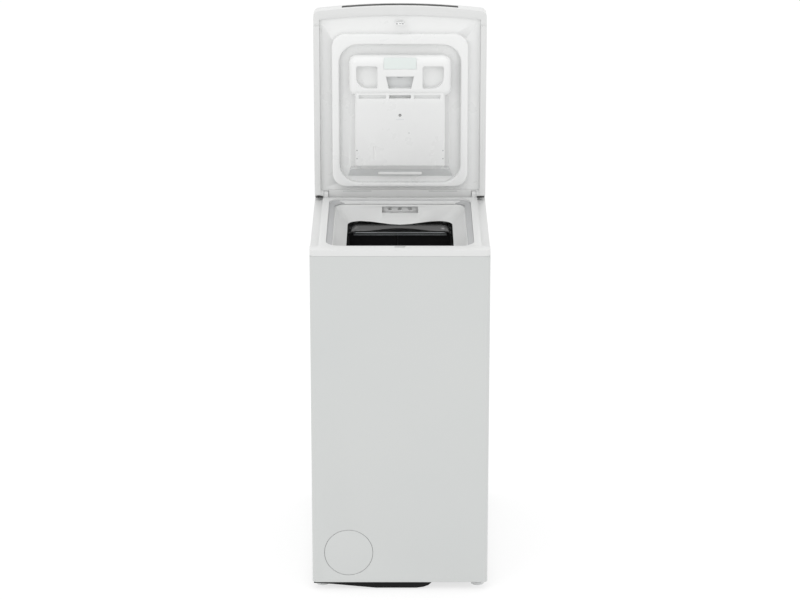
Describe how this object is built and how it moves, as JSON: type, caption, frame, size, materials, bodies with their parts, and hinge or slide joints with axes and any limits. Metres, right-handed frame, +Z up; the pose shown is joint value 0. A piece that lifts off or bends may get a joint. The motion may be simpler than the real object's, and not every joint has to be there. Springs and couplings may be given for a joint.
{
  "type": "top load washing machine",
  "caption": "Slim white top-loading washing machine, lid open at the rear, horizontal-axis drum under a round-cornered loading opening, detergent dispenser in the lid, castor lever at the base.",
  "frame": {"origin": "on the floor, at the middle of the object's box", "axes": "+X to the right seen from the front, +Y to the back, +Z up"},
  "size_m": [0.4, 0.6, 1.264],
  "materials": {
    "enamel": "satin enamel",
    "galvanised": "plain zinc-coated sheet",
    "white_moulding": "smooth moulded",
    "white_liner": "glossy moulded",
    "seal_rubber": "soft matte",
    "black_rubber": "soft, folded",
    "black_plastic": "fine grain",
    "dark_gloss": "glossy",
    "grey_plastic": "satin moulded",
    "tub_plastic": "moulded",
    "stainless": "brushed",
    "steel": "plain",
    "aluminium": "cast",
    "concrete": "rough cast"
  },
  "bodies": {
    "cabinet": {"cabinet_shell": "enamel", "back_panel": "galvanised", "inlet_valve": "grey_plastic", "base_tray": "black_plastic", "foot_front_left": "grey_plastic", "foot_front_right": "grey_plastic", "foot_rear_left": "grey_plastic", "foot_rear_right": "grey_plastic", "filter_surround": "white_moulding", "drain_pump": "grey_plastic", "sump_hose": "black_rubber", "top_frame": "white_moulding", "lid_seal": "seal_rubber", "loading_funnel": "white_moulding", "water_nozzle": "grey_plastic", "tub_bellows": "black_rubber", "lid_lock": "black_plastic", "control_console": "white_moulding", "console_fascia": "dark_gloss", "suspension_spring_left": "steel", "suspension_spring_right": "steel", "damper_cylinder_left": "steel", "damper_cylinder_right": "steel", "hinge_pin_left": "steel", "hinge_pin_right": "steel"},
    "tub": {"tub_left_half": "tub_plastic", "tub_right_half": "tub_plastic", "bearing_left": "steel", "bearing_right": "steel", "damper_rod_left": "steel", "damper_rod_right": "steel", "counterweight_rear": "concrete", "counterweight_front": "concrete", "heater_element": "steel", "motor": "aluminium", "drive_belt": "black_rubber"},
    "drum": {"drum_shell": "stainless", "drum_end_left": "stainless", "drum_end_right": "stainless", "drum_lifter_1": "grey_plastic", "drum_lifter_2": "grey_plastic", "drum_pulley": "aluminium"},
    "flap_front": {"flap_front": "stainless"},
    "flap_rear": {"flap_rear": "stainless"},
    "flap_button": {"flap_button": "grey_plastic"},
    "motor_pulley": {"motor_pulley": "steel"},
    "lid": {"lid_cover": "white_moulding", "lid_handle": "black_plastic", "lid_liner": "white_liner", "lid_latch": "white_moulding"},
    "dispenser": {"dispenser_tray": "white_liner", "softener_cap": "grey_plastic"},
    "programme_knob": {"programme_knob": "grey_plastic"},
    "start_button": {"start_button": "grey_plastic"},
    "filter_cover": {"filter_cover": "enamel"},
    "pump_filter": {"pump_filter": "grey_plastic"},
    "castor_lever": {"castor_lever": "black_plastic"},
    "castor_carriage": {"castor_carriage": "steel"},
    "castor_wheel_left": {"castor_wheel_left": "black_plastic"},
    "castor_wheel_right": {"castor_wheel_right": "black_plastic"}
  },
  "joints": [
    {"name": "tub_float", "type": "slide", "parent": "cabinet", "child": "tub", "axis": [0, 0, 1], "range_m": [-0.008, 0.008], "stiffness_N_per_m": 20000, "springref_m": 0.0159, "deforming": ["tub_bellows", "sump_hose", "suspension_spring_left", "suspension_spring_right"]},
    {"name": "drum_spin", "type": "hinge", "parent": "tub", "child": "drum", "pos_m": [0, -0.035, 0.485], "axis": [1, 0, 0], "continuous": true},
    {"name": "motor_spin", "type": "hinge", "parent": "tub", "child": "motor_pulley", "pos_m": [0.16, 0.06, 0.15], "axis": [1, 0, 0], "continuous": true},
    {"name": "flap_front_hinge", "type": "hinge", "parent": "drum", "child": "flap_front", "pos_m": [-0.005, -0.1655, 0.6714], "axis": [-1, 0, 0], "range_deg": [0, 80], "stiffness_Nm_per_rad": 0.5, "springref_deg": -45.84},
    {"name": "flap_rear_hinge", "type": "hinge", "parent": "drum", "child": "flap_rear", "pos_m": [-0.005, 0.0955, 0.6714], "axis": [1, 0, 0], "range_deg": [0, 80], "stiffness_Nm_per_rad": 0.5, "springref_deg": -45.84},
    {"name": "flap_button_press", "type": "slide", "parent": "flap_front", "child": "flap_button", "axis": [0, 0, -1], "range_m": [0, 0.004], "stiffness_N_per_m": 300, "springref_m": -0.002},
    {"name": "lid_hinge", "type": "hinge", "parent": "cabinet", "child": "lid", "pos_m": [0, 0.14, 0.816], "axis": [-1, 0, 0], "range_deg": [-90, 0]},
    {"name": "dispenser_pull", "type": "slide", "parent": "lid", "child": "dispenser", "axis": [0, -1, 0], "range_m": [0, 0.06]},
    {"name": "knob_turn", "type": "hinge", "parent": "cabinet", "child": "programme_knob", "pos_m": [0.105, 0.226, 0.876], "axis": [0, -0.5547, 0.8321], "continuous": true},
    {"name": "start_press", "type": "slide", "parent": "cabinet", "child": "start_button", "axis": [0, 0.5547, -0.8321], "range_m": [0, 0.0015], "stiffness_N_per_m": 600, "springref_m": -0.001},
    {"name": "filter_cover_pull", "type": "slide", "parent": "cabinet", "child": "filter_cover", "axis": [0, -1, 0], "range_m": [0, 0.04]},
    {"name": "pump_filter_turn", "type": "hinge", "parent": "cabinet", "child": "pump_filter", "pos_m": [-0.117, -0.25, 0.09], "axis": [0, -1, 0], "range_deg": [0, 120]},
    {"name": "castor_lever_swing", "type": "hinge", "parent": "cabinet", "child": "castor_lever", "pos_m": [-0.183, -0.2895, 0.016], "axis": [0, 0, -1], "range_deg": [0, 75]},
    {"name": "castor_drop", "type": "slide", "parent": "cabinet", "child": "castor_carriage", "axis": [0, 0, -1], "range_m": [0, 0.006]},
    {"name": "castor_roll_left", "type": "hinge", "parent": "castor_carriage", "child": "castor_wheel_left", "pos_m": [-0.143, -0.21, 0.0092], "axis": [1, 0, 0], "continuous": true},
    {"name": "castor_roll_right", "type": "hinge", "parent": "castor_carriage", "child": "castor_wheel_right", "pos_m": [0.143, -0.21, 0.0092], "axis": [1, 0, 0], "continuous": true}
  ],
  "couplings": [
    {"joint": "motor_spin", "follows": "drum_spin", "ratio": 15},
    {"joint": "castor_lever_swing", "follows": "castor_drop", "rad_per_m": 218.17}
  ]
}
